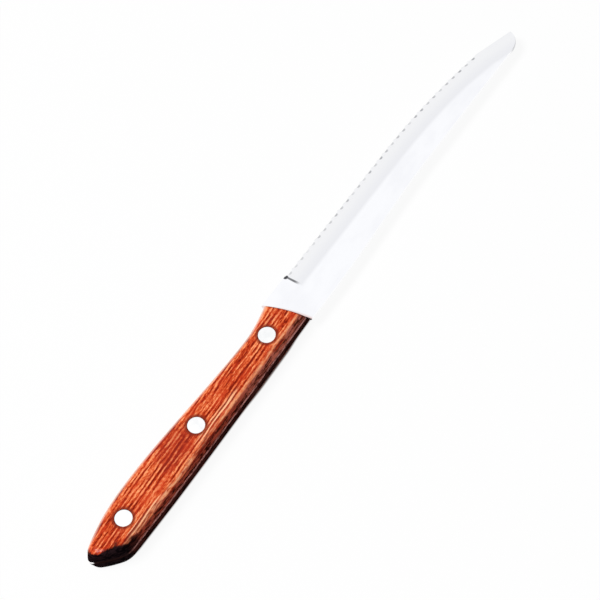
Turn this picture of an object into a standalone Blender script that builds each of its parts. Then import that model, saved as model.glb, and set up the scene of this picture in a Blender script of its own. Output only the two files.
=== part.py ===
"""Steak knife: a serrated full-tang blade between two riveted wooden scales.

The knife lies flat. X runs to the tip, Y to the cutting edge and Z up. The
origin is on the flat underside of the handle, on the line of the rivets and
halfway between the front and the middle rivet. All sizes are in metres.
"""

import math

import bmesh
import bpy

# Clearance between pieces that touch, which under a scale is the glue film
CLEARANCE = 0.0003

# Handle, seen from above, with the rivets on its centre line
HANDLE_LENGTH = 0.1079
FRONT_RIVET_SETBACK = 0.0129
REAR_RIVET_SETBACK = 0.0174
BUTT_TAPER_LENGTH = 0.0320
BUTT_TAPER_POWER = 2.5
WAIST_SETBACK = 0.0177
BELLY_EDGE_SIDE = 0.0074
BELLY_SPINE_SIDE = 0.0070
WAIST_EDGE_SIDE = 0.0053
GUARD_EDGE_SIDE = 0.0079
GUARD_SPINE_SIDE = 0.0050
SPINE_SIDE_DROOP = 1.3
FRONT_SLANT = 0.29
FRONT_BULGE_RADIUS = 0.0420

# Butt, cut off on a slant from its point on the edge side to the spine side
BUTT_POINT_Y = 0.0027
BUTT_SLANT = 1.02
BUTT_BULGE = 0.0012
BUTT_POINT_RADIUS = 0.0010
BUTT_POINT_RADIUS_AT_FACE = 0.0034
BUTT_CORNER_RADIUS = 0.0060

# Scales
SCALE_THICKNESS = 0.00455
SCALE_EDGE_RADIUS = 0.0020
FRONT_RAKE = 0.0019

# Cutler's rivets, each a sleeve from above and a pin from below
RIVET_HEAD_DIAMETER = 0.0060
RIVET_HEAD_HEIGHT = 0.0013
RIVET_HEAD_RECESS = 0.00005
SLEEVE_DIAMETER = 0.0042
PIN_DIAMETER = 0.0022

# Steel blank
STEEL_THICKNESS = 0.0013
BLADE_LENGTH = 0.1293
HEEL_TO_RIVET_LINE = 0.0099
SPINE_TO_RIVET_LINE = 0.0071
RICASSO_LENGTH = 0.0099
BLADE_CORNER_RADIUS = 0.0008

# Spine, which comes nearer to the rivet line over the rear half of the blade
SPINE_RISE = 0.0025
SPINE_RISE_RUN = 0.0650

# Cutting edge, straight from the heel and then swept up to the point
STRAIGHT_EDGE_LENGTH = 0.0500
SWEEP_RADIUS = 0.3200
PLAIN_EDGE_LENGTH = 0.0135
POINT_TO_RIVET_LINE = 0.0003
POINT_ROUNDING = 0.0060
POINT_WIDTH = 0.0006

# Ground bevel
BEVEL_WIDTH = 0.0066
LEAST_FLAT_SHARE = 0.125
EDGE_THICKNESS = 0.0003
PLUNGE_RUN = 0.0007
PLUNGE_SLANT = 0.12
PLUNGE_FADE = 0.0060
HEEL_NOTCH_RADIUS = 0.0005

# Serration, ground from the upper side
TOOTH_PITCH = 0.0033
TOOTH_DEPTH = 0.0006
TOOTH_LAND = 0.0001
TOOTH_FACET = 0.0009
FACET_AT_TOOTH_TIP = 0.0002

# Steps along the curves
SIDE_STEPS = 20
BUTT_LINE_STEPS = 2
BUTT_CORNER_STEPS = 6
FRONT_STEPS = 5
EDGE_ROUND_STEPS = 4
CORNER_STEPS = 4
NOTCH_STEPS = 6
TOOTH_STEPS = 6
PLAIN_EDGE_STEPS = 4
POINT_STEPS = 7
TURNED_STEPS = 32

# How a corner of the handle is found and rounded, and the angle that shades as sharp
SLOPE_STEP = 0.00001
SLIDE_ROUNDS = 20
FILLET_SHARE = 0.98
SHARP_DEGREES = 30

# Places that follow from the sizes
RIVET_PITCH = (HANDLE_LENGTH - FRONT_RIVET_SETBACK - REAR_RIVET_SETBACK) / 2
RIVET_X = {
    "front": RIVET_PITCH / 2,
    "middle": -RIVET_PITCH / 2,
    "rear": -RIVET_PITCH * 3 / 2,
}
HANDLE_FRONT_X = RIVET_X["front"] + FRONT_RIVET_SETBACK
BUTT_X = HANDLE_FRONT_X - HANDLE_LENGTH
BELLY_X = BUTT_X + BUTT_TAPER_LENGTH
WAIST_X = HANDLE_FRONT_X - WAIST_SETBACK
HANDLE_THICKNESS = 2 * SCALE_THICKNESS + 2 * CLEARANCE + STEEL_THICKNESS
MID_Z = HANDLE_THICKNESS / 2
TIP_X = HANDLE_FRONT_X + BLADE_LENGTH
PLUNGE_X = HANDLE_FRONT_X + RICASSO_LENGTH
TEETH_START_X = PLUNGE_X + PLUNGE_RUN
TEETH_END_X = TIP_X - PLAIN_EDGE_LENGTH
SWEEP_X = PLUNGE_X + STRAIGHT_EDGE_LENGTH
POINT_X = TIP_X - POINT_ROUNDING


def clear_scene():
    """Remove whatever the scene holds."""
    for obj in list(bpy.data.objects):
        bpy.data.objects.remove(obj, do_unlink=True)


def blend(start, end, share):
    """Go from start to end along an S-curve as share goes from 0 to 1."""
    share = min(max(share, 0.0), 1.0)
    return start + (end - start) * share * share * (3 - 2 * share)


def mix(start, end, share):
    """Go from start to end in a straight line as share goes from 0 to 1."""
    return start + (end - start) * share


# Handle outline, shared by the tang and both scales

def front_x(y):
    """The handle's slanted and bulging front line at the steel."""
    return HANDLE_FRONT_X - FRONT_SLANT * y - y * y / (2 * FRONT_BULGE_RADIUS)


def butt_x(y):
    """The slanted and slightly bulging line of the butt."""
    share = (BUTT_POINT_Y - y) / (BUTT_POINT_Y + BELLY_SPINE_SIDE)
    return BUTT_X + BUTT_SLANT * (BUTT_POINT_Y - y) - BUTT_BULGE * 4 * share * (1 - share)


def edge_side_y(x):
    """The handle's edge side, from the butt over the belly and the waist to the guard."""
    if x < BELLY_X:
        taper = (BELLY_X - x) / BUTT_TAPER_LENGTH
        return mix(BELLY_EDGE_SIDE, BUTT_POINT_Y, taper ** BUTT_TAPER_POWER)
    if x < WAIST_X:
        return blend(BELLY_EDGE_SIDE, WAIST_EDGE_SIDE, (x - BELLY_X) / (WAIST_X - BELLY_X))
    flare = (x - WAIST_X) / (front_x(GUARD_EDGE_SIDE) - WAIST_X)
    return mix(WAIST_EDGE_SIDE, GUARD_EDGE_SIDE, flare ** 2)


def spine_side_y(x):
    """The handle's spine side, straight at the butt and then a slow curve to the guard."""
    share = max(x - BELLY_X, 0.0) / (front_x(-GUARD_SPINE_SIDE) - BELLY_X)
    return mix(-BELLY_SPINE_SIDE, -GUARD_SPINE_SIDE, share ** SPINE_SIDE_DROOP)


def inset_point(side, x, inset):
    """The point of a side at x, moved inwards square to the side."""
    slope = (side(x + SLOPE_STEP) - side(x - SLOPE_STEP)) / (2 * SLOPE_STEP)
    inwards = -math.copysign(inset, side(x)) / math.hypot(1, slope)
    return x - slope * inwards, side(x) + inwards


def meet(side, x, inset, end_x):
    """The x on a side whose inset point lies on an end line, found by sliding along it."""
    for _ in range(SLIDE_ROUNDS):
        point = inset_point(side, x, inset)
        x += end_x(point[1]) - point[0]
    return x


def fillet(before, corner, after, radius):
    """An arc of the given radius in the corner, as points, kept within both lines."""
    towards_x = before[0] - corner[0]
    towards_y = before[1] - corner[1]
    onwards_x = after[0] - corner[0]
    onwards_y = after[1] - corner[1]
    towards = math.hypot(towards_x, towards_y)
    onwards = math.hypot(onwards_x, onwards_y)
    half_angle = math.acos((towards_x * onwards_x + towards_y * onwards_y) / (towards * onwards)) / 2
    tangent = min(radius / math.tan(half_angle), FILLET_SHARE * min(towards, onwards))
    radius = tangent * math.tan(half_angle)
    middle_x = towards_x / towards + onwards_x / onwards
    middle_y = towards_y / towards + onwards_y / onwards
    reach = radius / math.sin(half_angle) / math.hypot(middle_x, middle_y)
    centre_x = corner[0] + middle_x * reach
    centre_y = corner[1] + middle_y * reach
    start = math.atan2(
        corner[1] + towards_y / towards * tangent - centre_y,
        corner[0] + towards_x / towards * tangent - centre_x,
    )
    turn = math.pi - 2 * half_angle
    points = []
    for step in range(BUTT_CORNER_STEPS + 1):
        angle = start + turn * step / BUTT_CORNER_STEPS
        points.append((centre_x + radius * math.cos(angle), centre_y + radius * math.sin(angle)))
    return points


def handle_sides(inset=0.0, setback=0.0, point_radius=BUTT_POINT_RADIUS):
    """The sides and butt from the front's edge corner round to its spine corner."""
    def front(y):
        return front_x(y) - setback

    def butt(y):
        return butt_x(y) + inset * math.hypot(1, BUTT_SLANT)

    edge_front_x = meet(edge_side_y, front_x(GUARD_EDGE_SIDE), inset, front)
    edge_butt_x = meet(edge_side_y, BUTT_X, inset, butt)
    spine_butt_x = meet(spine_side_y, BUTT_X, inset, butt)
    spine_front_x = meet(spine_side_y, front_x(-GUARD_SPINE_SIDE), inset, front)
    edge_side = [
        inset_point(edge_side_y, mix(edge_front_x, edge_butt_x, step / SIDE_STEPS), inset)
        for step in range(SIDE_STEPS + 1)
    ]
    spine_side = [
        inset_point(spine_side_y, mix(spine_butt_x, spine_front_x, step / SIDE_STEPS), inset)
        for step in range(SIDE_STEPS + 1)
    ]
    middle = []
    for step in range(1, BUTT_LINE_STEPS):
        y = mix(edge_side[-1][1], spine_side[0][1], step / BUTT_LINE_STEPS)
        middle.append((butt(y), y))
    point = fillet(edge_side[-2], edge_side[-1], middle[0], point_radius)
    corner = fillet(middle[-1], spine_side[0], spine_side[1], BUTT_CORNER_RADIUS - inset)
    return edge_side[:-1] + point + middle + corner + spine_side[1:]


def handle_outline(inset, height):
    """The closed outline of a scale at one height, counter-clockwise from above."""
    share = height / SCALE_THICKNESS
    setback = FRONT_RAKE * share
    point_radius = mix(BUTT_POINT_RADIUS, BUTT_POINT_RADIUS_AT_FACE, share)
    points = handle_sides(inset, setback, point_radius)
    spine_corner_y = points[-1][1]
    edge_corner_y = points[0][1]
    for step in range(1, FRONT_STEPS):
        y = mix(spine_corner_y, edge_corner_y, step / FRONT_STEPS)
        points.append((front_x(y) - setback, y))
    return points


# Blade outline and grind

def spine_y(x):
    """The blade's spine, rounded off at the point."""
    y = blend(0.0, SPINE_RISE, (x - PLUNGE_X) / SPINE_RISE_RUN) - SPINE_TO_RIVET_LINE
    if x > POINT_X:
        share = min((x - POINT_X) / POINT_ROUNDING, 1.0)
        point_y = POINT_TO_RIVET_LINE - POINT_WIDTH / 2
        y = mix(y, point_y, 1 - math.sqrt(1 - share * share))
    return y


def edge_y(x):
    """The cutting edge before the teeth are ground into it."""
    swept = min(max(x, SWEEP_X), TEETH_END_X) - SWEEP_X
    y = HEEL_TO_RIVET_LINE - swept * swept / (2 * SWEEP_RADIUS)
    if x > TEETH_END_X:
        point_y = POINT_TO_RIVET_LINE + POINT_WIDTH / 2
        y = mix(y, point_y, (x - TEETH_END_X) / PLAIN_EDGE_LENGTH)
    return y


def half_thickness(x, y):
    """Half the steel's thickness on the ground part of the blade."""
    across = (y - edge_y(x) + BEVEL_WIDTH) / BEVEL_WIDTH
    across = min(max(across, 0.0), 1.0)
    return mix(STEEL_THICKNESS, EDGE_THICKNESS, across) / 2


def blade_columns():
    """X and tooth depth share of each column of the ground part, heel to point."""
    columns = [(PLUNGE_X, 0.0), (TEETH_START_X, 0.0)]
    span = TEETH_END_X - TEETH_START_X
    teeth = max(round(span / TOOTH_PITCH), 1)
    for step in range(1, teeth * TOOTH_STEPS + 1):
        along = step % TOOTH_STEPS / TOOTH_STEPS
        columns.append((TEETH_START_X + span * step / (teeth * TOOTH_STEPS), 1 - (2 * along - 1) ** 2))
    for step in range(1, PLAIN_EDGE_STEPS + 1):
        columns.append((mix(TEETH_END_X, POINT_X, step / PLAIN_EDGE_STEPS), 0.0))
    for step in range(1, POINT_STEPS + 1):
        columns.append((POINT_X + POINT_ROUNDING * math.sin(math.pi / 2 * step / POINT_STEPS), 0.0))
    return columns


def column_points(x, gullet, flat):
    """The upper and the lower row of points across the blade, spine to edge."""
    spine = spine_y(x)
    edge = edge_y(x) - TOOTH_DEPTH * gullet
    bevel = max(edge_y(x) - BEVEL_WIDTH, mix(spine, edge, LEAST_FLAT_SHARE))
    facet_run = mix(FACET_AT_TOOTH_TIP, TOOTH_FACET, gullet)
    facet = edge - min(facet_run, (edge - bevel) / 2)
    upper = []
    lower = []
    fade = max(1 - (x - PLUNGE_X) / PLUNGE_FADE, 0.0)
    for y in (spine, bevel, facet, edge):
        half = STEEL_THICKNESS / 2 if flat else half_thickness(x, y)
        slanted_x = x + PLUNGE_SLANT * (HEEL_TO_RIVET_LINE - max(y, bevel)) * fade
        upper.append([slanted_x, y, half])
        lower.append([slanted_x, y, -half])
    if not flat:
        upper[3][2] = mix(upper[3][2], lower[3][2] + TOOTH_LAND, gullet)
    return upper, lower


def corner_points(y, inwards):
    """A rounded corner of the blade at the handle, from the handle's front line outwards."""
    points = []
    for step in range(CORNER_STEPS + 1):
        angle = math.pi / 2 * step / CORNER_STEPS
        corner_y = y + inwards * BLADE_CORNER_RADIUS * (1 - math.sin(angle))
        points.append((front_x(corner_y) + BLADE_CORNER_RADIUS * (1 - math.cos(angle)), corner_y))
    return points


def notch_points():
    """The small notch between the grind and the ricasso."""
    points = []
    for step in range(1, NOTCH_STEPS + 1):
        angle = math.pi * step / NOTCH_STEPS
        x = PLUNGE_X - HEEL_NOTCH_RADIUS * (1 - math.cos(angle))
        points.append((x, HEEL_TO_RIVET_LINE - HEEL_NOTCH_RADIUS * math.sin(angle)))
    return points


def finish_mesh(name, mesh_builder):
    """Turn the bmesh into an object whose faces point out, shaded smooth by angle."""
    bmesh.ops.recalc_face_normals(mesh_builder, faces=mesh_builder.faces)
    mesh = bpy.data.meshes.new(name)
    mesh_builder.to_mesh(mesh)
    mesh_builder.free()
    mesh.shade_smooth()
    mesh.set_sharp_from_angle(angle=math.radians(SHARP_DEGREES))
    obj = bpy.data.objects.new(name, mesh)
    bpy.context.collection.objects.link(obj)
    return obj


def make_blade():
    """The blank: tang and ricasso as flat plate, then the ground part in columns."""
    builder = bmesh.new()
    columns = blade_columns()
    upper_columns = []
    lower_columns = []
    for index, (x, gullet) in enumerate(columns):
        upper, lower = column_points(x, gullet, flat=index == 0)
        upper_columns.append([builder.verts.new(point) for point in upper])
        lower_columns.append([builder.verts.new(point) for point in lower])
    half = STEEL_THICKNESS / 2
    heel = corner_points(HEEL_TO_RIVET_LINE, -1)[::-1]
    spine_corner = corner_points(-SPINE_TO_RIVET_LINE, 1)
    plate = notch_points() + heel + handle_sides() + spine_corner
    upper_plate = [builder.verts.new((x, y, half)) for x, y in plate]
    lower_plate = [builder.verts.new((x, y, -half)) for x, y in plate]
    upper_ring = upper_plate + upper_columns[0]
    lower_ring = lower_plate + lower_columns[0]
    builder.faces.new(upper_ring)
    builder.faces.new(lower_ring)
    outer = [upper_columns[0][-1]] + upper_plate + [upper_columns[0][0]]
    under = [lower_columns[0][-1]] + lower_plate + [lower_columns[0][0]]
    for index in range(len(outer) - 1):
        builder.faces.new((outer[index], outer[index + 1], under[index + 1], under[index]))
    for here in range(len(columns) - 1):
        ahead = here + 1
        loop_here = upper_columns[here] + lower_columns[here][::-1]
        loop_ahead = upper_columns[ahead] + lower_columns[ahead][::-1]
        count = len(loop_here)
        for row in range(count):
            after = (row + 1) % count
            builder.faces.new((loop_here[row], loop_here[after], loop_ahead[after], loop_ahead[row]))
    builder.faces.new(upper_columns[-1] + lower_columns[-1][::-1])
    blade = finish_mesh("blade", builder)
    blade.location = (0, 0, MID_Z)
    return blade


def make_scale(name, side):
    """A scale: flat on the tang, raked at the front, rounded along its outer edge."""
    inner = STEEL_THICKNESS / 2 + CLEARANCE
    round_start = SCALE_THICKNESS - SCALE_EDGE_RADIUS
    levels = [(0.0, 0.0)]
    for step in range(EDGE_ROUND_STEPS + 1):
        angle = math.pi / 2 * step / EDGE_ROUND_STEPS
        inset = SCALE_EDGE_RADIUS * (1 - math.cos(angle))
        levels.append((inset, round_start + SCALE_EDGE_RADIUS * math.sin(angle)))
    builder = bmesh.new()
    rings = []
    for inset, height in levels:
        outline = handle_outline(inset, height)
        z = side * (inner + height)
        rings.append([builder.verts.new((x, y, z)) for x, y in outline])
    for low, high in zip(rings, rings[1:]):
        count = len(low)
        for index in range(count):
            after = (index + 1) % count
            builder.faces.new((low[index], low[after], high[after], high[index]))
    builder.faces.new(rings[0])
    builder.faces.new(rings[-1])
    scale = finish_mesh(name, builder)
    scale.location = (0, 0, MID_Z)
    return scale


def turned(name, profile):
    """Turn a profile of (radius, height) points about Z. Both ends are on the axis."""
    builder = bmesh.new()
    rings = []
    for radius, z in profile:
        if radius == 0:
            rings.append([builder.verts.new((0, 0, z))])
            continue
        ring = []
        for step in range(TURNED_STEPS):
            angle = 2 * math.pi * step / TURNED_STEPS
            ring.append(builder.verts.new((radius * math.cos(angle), radius * math.sin(angle), z)))
        rings.append(ring)
    for ring, following in zip(rings, rings[1:]):
        for step in range(TURNED_STEPS):
            after = (step + 1) % TURNED_STEPS
            corners = [ring[step % len(ring)], ring[after % len(ring)]]
            corners += [following[after % len(following)], following[step % len(following)]]
            builder.faces.new(list(dict.fromkeys(corners)))
    return finish_mesh(name, builder)


# Heights of the rivets' parts, shared by the rivets and their bores

LOWER_HEAD_BASE = RIVET_HEAD_RECESS
LOWER_HEAD_TOP = LOWER_HEAD_BASE + RIVET_HEAD_HEIGHT
UPPER_HEAD_TOP = HANDLE_THICKNESS - RIVET_HEAD_RECESS
UPPER_HEAD_BASE = UPPER_HEAD_TOP - RIVET_HEAD_HEIGHT
HEAD_RADIUS = RIVET_HEAD_DIAMETER / 2
SLEEVE_RADIUS = SLEEVE_DIAMETER / 2
PIN_RADIUS = PIN_DIAMETER / 2


def make_bore(name):
    """The stepped bore through both scales and the tang, as a cutter."""
    head = HEAD_RADIUS + CLEARANCE
    shank = SLEEVE_RADIUS + CLEARANCE
    beyond = SCALE_THICKNESS / 2
    cutter = turned(name, [
        (0, -beyond),
        (head, -beyond),
        (head, LOWER_HEAD_TOP + CLEARANCE),
        (shank, LOWER_HEAD_TOP + CLEARANCE),
        (shank, UPPER_HEAD_BASE - CLEARANCE),
        (head, UPPER_HEAD_BASE - CLEARANCE),
        (head, HANDLE_THICKNESS + beyond),
        (0, HANDLE_THICKNESS + beyond),
    ])
    cutter.hide_render = True
    cutter.display_type = "WIRE"
    return cutter


def make_sleeve(name):
    """The rivet's upper half: a flush head on a tube that is open below."""
    bore = PIN_RADIUS + CLEARANCE
    bore_end = UPPER_HEAD_BASE - CLEARANCE
    tube_end = LOWER_HEAD_TOP + CLEARANCE
    return turned(name, [
        (0, UPPER_HEAD_TOP),
        (HEAD_RADIUS, UPPER_HEAD_TOP),
        (HEAD_RADIUS, UPPER_HEAD_BASE),
        (SLEEVE_RADIUS, UPPER_HEAD_BASE),
        (SLEEVE_RADIUS, tube_end),
        (bore, tube_end),
        (bore, bore_end),
        (0, bore_end),
    ])


def make_pin(name):
    """The rivet's lower half: a flush head on a solid pin that fills the sleeve."""
    return turned(name, [
        (0, LOWER_HEAD_BASE),
        (HEAD_RADIUS, LOWER_HEAD_BASE),
        (HEAD_RADIUS, LOWER_HEAD_TOP),
        (PIN_RADIUS, LOWER_HEAD_TOP),
        (PIN_RADIUS, UPPER_HEAD_BASE - 2 * CLEARANCE),
        (0, UPPER_HEAD_BASE - 2 * CLEARANCE),
    ])


def material(name, colour, roughness, metallic):
    """A plain material with one colour."""
    made = bpy.data.materials.new(name)
    made.use_nodes = True
    shader = made.node_tree.nodes["Principled BSDF"]
    shader.inputs["Base Color"].default_value = (*colour, 1)
    shader.inputs["Roughness"].default_value = roughness
    shader.inputs["Metallic"].default_value = metallic
    return made


clear_scene()
knife = bpy.data.objects.new("steak_knife", None)
bpy.context.collection.objects.link(knife)

blade = make_blade()
upper_scale = make_scale("upper_scale", 1)
lower_scale = make_scale("lower_scale", -1)
blade.data.materials.append(material("blade_steel", (0.86, 0.87, 0.88), 0.28, 1.0))
scale_wood = material("red_laminated_wood", (0.60, 0.13, 0.04), 0.38, 0.0)
rivet_metal = material("rivet_metal", (0.88, 0.88, 0.87), 0.35, 1.0)

pieces = [blade, upper_scale, lower_scale]
for scale in (upper_scale, lower_scale):
    scale.data.materials.append(scale_wood)

for place, rivet_x in RIVET_X.items():
    sleeve = make_sleeve(place + "_rivet_sleeve")
    pin = make_pin(place + "_rivet_pin")
    bore = make_bore(place + "_rivet_bore")
    for piece in (sleeve, pin):
        piece.data.materials.append(rivet_metal)
        piece.location.x = rivet_x
        pieces.append(piece)
    bore.location.x = rivet_x
    bore.parent = knife
    for plate in (blade, upper_scale, lower_scale):
        cut = plate.modifiers.new(place + "_rivet_bore", "BOOLEAN")
        cut.operation = "DIFFERENCE"
        cut.object = bore

for piece in pieces:
    piece.parent = knife
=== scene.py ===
import math

import bmesh
import bpy
from mathutils import Matrix, Vector


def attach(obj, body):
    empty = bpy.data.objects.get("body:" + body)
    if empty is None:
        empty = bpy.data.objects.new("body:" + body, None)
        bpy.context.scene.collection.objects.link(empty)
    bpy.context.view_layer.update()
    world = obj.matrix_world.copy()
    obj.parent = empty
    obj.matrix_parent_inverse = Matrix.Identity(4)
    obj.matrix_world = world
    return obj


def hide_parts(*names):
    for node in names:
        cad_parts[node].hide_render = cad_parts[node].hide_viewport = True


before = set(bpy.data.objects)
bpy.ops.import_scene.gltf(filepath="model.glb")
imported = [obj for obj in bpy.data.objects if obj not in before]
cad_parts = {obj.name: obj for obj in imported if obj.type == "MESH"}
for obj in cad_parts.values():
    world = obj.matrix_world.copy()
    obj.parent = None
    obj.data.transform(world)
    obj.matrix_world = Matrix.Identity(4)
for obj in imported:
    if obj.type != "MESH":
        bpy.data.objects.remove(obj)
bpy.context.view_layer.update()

# A steak knife lying flat: a serrated steel blade with a full tang, red laminated wood
# scales and cutler's rivets, dressed in the order in which it is put together. X runs
# to the point, Y to the cutting edge and Z up, and all lengths are in metres.


# Camera
# The knife lies on the table with its point to the upper right of the picture, and is
# seen from above its butt and its spine through a long lens, which keeps it slender.

VIEW_RIGHT = Vector((0.58197, -0.80407, -0.12163))
VIEW_UP = Vector((0.74520, 0.46742, 0.47560))
VIEW_BACK = Vector((-0.32557, -0.36742, 0.87121))
VIEW_PLACE = Vector((-0.26325, -0.33909, 0.81094))

camera = bpy.data.objects.new("camera", bpy.data.cameras.new("camera"))
camera.data.sensor_width = 36
camera.data.lens = 168
camera.data.clip_end = 20
camera.matrix_world = Matrix((VIEW_RIGHT, VIEW_UP, VIEW_BACK)).transposed().to_4x4()
camera.location = VIEW_PLACE
bpy.context.collection.objects.link(camera)
bpy.context.scene.camera = camera
bpy.context.scene.view_settings.view_transform = "Standard"


# Blade
# A blank stamped from 1.3 mm stainless sheet, which runs through the whole handle as its
# tang. It is ground flat on both sides towards the edge, and the teeth are cut into the
# edge from the upper side only. The flats have a fine satin finish along the blade.

STEEL_THICKNESS = 0.0013
MID_Z = 0.0055
TIP_X = 0.1616
PLUNGE_X = 0.0419
PLUNGE_RUN = 0.0007
PLUNGE_SLANT = 0.03
PLUNGE_FADE = 0.0060
SPINE_Y = -0.0071
SPINE_RISE = 0.0025
SPINE_RISE_RUN = 0.0650
HEEL_Y = 0.0099
SWEEP_X = 0.0990
SWEEP_RADIUS = 0.2620
TEETH_END_X = 0.1476
TEETH = 32
TOOTH_DEPTH = 0.00038
TOOTH_LAND = 0.00008
TOOTH_FACET = 0.0010
FACET_AT_TOOTH_TIP = 0.0002
FACET_GROWTH = 0.7
FACET_HOLLOW = 0.00006
POINT_Y = 0.0003
POINT_ROUNDING = 0.0060
POINT_WIDTH = 0.0006
POINT_THINNING = 0.6
POINT_THINNING_RUN = 0.0040
BEVEL_WIDTH = 0.0066
LEAST_FLAT_SHARE = 0.125
EDGE_THICKNESS = 0.00014
EDGE_ROUNDING = 0.3
STEEL_EDGE_BREAK = 0.00012
GROUND_EDGE_BREAK = 0.00002
BLADE_CORNER_RADIUS = 0.0008
HEEL_NOTCH_RADIUS = 0.00025

# Outline of the handle, which the tang and the scales share
FRONT_X = 0.0323
FRONT_SLANT = 0.29
FRONT_BULGE_RADIUS = 0.0420
BUTT_X = -0.0756
BUTT_SLANT = 1.02
BUTT_BULGE = 0.0012
BUTT_POINT_Y = 0.0027
BUTT_TAPER_LENGTH = 0.0320
BUTT_TAPER_POWER = 2.5
BELLY_X = BUTT_X + BUTT_TAPER_LENGTH
WAIST_X = FRONT_X - 0.0177
BELLY_EDGE_Y = 0.0076
BELLY_SPINE_Y = -0.0070
WAIST_EDGE_Y = 0.0053
GUARD_EDGE_Y = 0.0079
GUARD_SPINE_Y = -0.0050
GUARD_FLARE_POWER = 1.6
SPINE_DROOP = 1.3
POINT_REACH = 0.0017
POINT_REACH_ON_EDGE = 0.94
POINT_REACH_ON_BUTT = 0.84
CORNER_REACH = 0.0026
CORNER_REACH_ON_BUTT = 0.60
CORNER_TIGHTENING = 0.45

# How many straight steps stand for each curve, and the angle that shades as an edge
SIDE_STEPS = 90
BUTT_STEPS = 12
BEND_STEPS = 10
PLUNGE_STEPS = 6
TOOTH_STEPS = 14
FACET_STEPS = 4
SWEEP_STEPS = 20
POINT_STEPS = 24
CORNER_STEPS = 8
NOTCH_STEPS = 12
SHARP_DEGREES = 28


def mix(start, end, share):
    """Go from start to end in a straight line as share goes from 0 to 1."""
    return start + (end - start) * share


def blend(start, end, share):
    """Go from start to end along an S-curve as share goes from 0 to 1."""
    share = min(max(share, 0.0), 1.0)
    return mix(start, end, share * share * (3 - 2 * share))


def spread(start, end, steps):
    """The numbers from start to end in equal steps, both ends among them."""
    return [mix(start, end, step / steps) for step in range(steps + 1)]


def quarter_turn(steps):
    """The angles of a quarter turn in equal steps, both ends among them."""
    return [math.pi / 2 * step / steps for step in range(steps + 1)]


def front_x(y):
    """The slanted, bulging line where the handle ends, for a number or a material's y."""
    return FRONT_X - FRONT_SLANT * y - y * y / (2 * FRONT_BULGE_RADIUS)


def butt_x(y):
    """The slanted and bulging line of the butt."""
    share = (BUTT_POINT_Y - y) / (BUTT_POINT_Y - BELLY_SPINE_Y)
    return BUTT_X + BUTT_SLANT * (BUTT_POINT_Y - y) - BUTT_BULGE * 4 * share * (1 - share)


def edge_side(x):
    """The handle's side over the cutting edge: butt, belly, waist and guard."""
    if x < BELLY_X:
        share = (BELLY_X - x) / BUTT_TAPER_LENGTH
        return mix(BELLY_EDGE_Y, BUTT_POINT_Y, share ** BUTT_TAPER_POWER)
    if x < WAIST_X:
        return blend(BELLY_EDGE_Y, WAIST_EDGE_Y, (x - BELLY_X) / (WAIST_X - BELLY_X))
    share = (x - WAIST_X) / (front_x(GUARD_EDGE_Y) - WAIST_X)
    return mix(WAIST_EDGE_Y, GUARD_EDGE_Y, share ** GUARD_FLARE_POWER)


def spine_side(x):
    """The handle's side over the spine, nearly straight."""
    share = max(x - BELLY_X, 0.0) / (front_x(GUARD_SPINE_Y) - BELLY_X)
    return mix(BELLY_SPINE_Y, GUARD_SPINE_Y, share ** SPINE_DROOP)


def inset_point(side, x, inset):
    """The point of a side at x, moved inwards square to the side."""
    nudge = 1e-5
    slope = (side(x + nudge) - side(x - nudge)) / (2 * nudge)
    inwards = -math.copysign(inset, side(x)) / math.hypot(1, slope)
    return x - slope * inwards, side(x) + inwards


def meet(side, x, inset, end_x, slides=20):
    """The x on a side whose inset point lies on an end line, found by sliding along it."""
    for _ in range(slides):
        point = inset_point(side, x, inset)
        x += end_x(point[1]) - point[0]
    return x


def bend(start, corner, end):
    """The points of an arc that rounds a corner from start to end, without those two."""
    start, corner, end = Vector(start), Vector(corner), Vector(end)
    pull = math.sin((start - corner).angle(end - corner) / 2)
    points = []
    for step in range(1, BEND_STEPS):
        share = step / BEND_STEPS
        weights = ((1 - share) ** 2, 2 * share * (1 - share) * pull, share ** 2)
        point = (start * weights[0] + corner * weights[1] + end * weights[2]) / sum(weights)
        points.append(tuple(point))
    return points


def handle_outline(inset, setback, point_reach):
    """The handle's outline from the guard round the butt to the front's spine corner."""
    def front(y):
        return front_x(y) - setback

    def butt(y):
        return butt_x(y) + inset * math.hypot(1, BUTT_SLANT)

    guard_x = meet(edge_side, front_x(GUARD_EDGE_Y), inset, front)
    point_x = meet(edge_side, BUTT_X, inset, butt)
    corner_x = meet(spine_side, BUTT_X, inset, butt)
    spine_front_x = meet(spine_side, front_x(GUARD_SPINE_Y), inset, front)
    point = inset_point(edge_side, point_x, inset)
    corner = inset_point(spine_side, corner_x, inset)
    corner_reach = CORNER_REACH - inset * CORNER_TIGHTENING
    edge_xs = spread(guard_x, point_x + point_reach * POINT_REACH_ON_EDGE, SIDE_STEPS)
    butt_ys = spread(
        point[1] - point_reach * POINT_REACH_ON_BUTT,
        corner[1] + corner_reach * CORNER_REACH_ON_BUTT, BUTT_STEPS,
    )
    spine_xs = spread(corner_x + corner_reach, spine_front_x, SIDE_STEPS)
    along_edge = [inset_point(edge_side, x, inset) for x in edge_xs]
    along_butt = [(butt(y), y) for y in butt_ys]
    along_spine = [inset_point(spine_side, x, inset) for x in spine_xs]
    at_point = bend(along_edge[-1], point, along_butt[0])
    at_corner = bend(along_butt[-1], corner, along_spine[0])
    return along_edge + at_point + along_butt + at_corner + along_spine


def spine_y(x):
    """The blade's spine, which rises slowly and is rounded off at the point."""
    y = SPINE_Y + blend(0.0, SPINE_RISE, (x - PLUNGE_X) / SPINE_RISE_RUN)
    share = min(max((x - TIP_X + POINT_ROUNDING) / POINT_ROUNDING, 0.0), 1.0)
    return mix(y, POINT_Y - POINT_WIDTH / 2, 1 - math.sqrt(1 - share * share))


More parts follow.
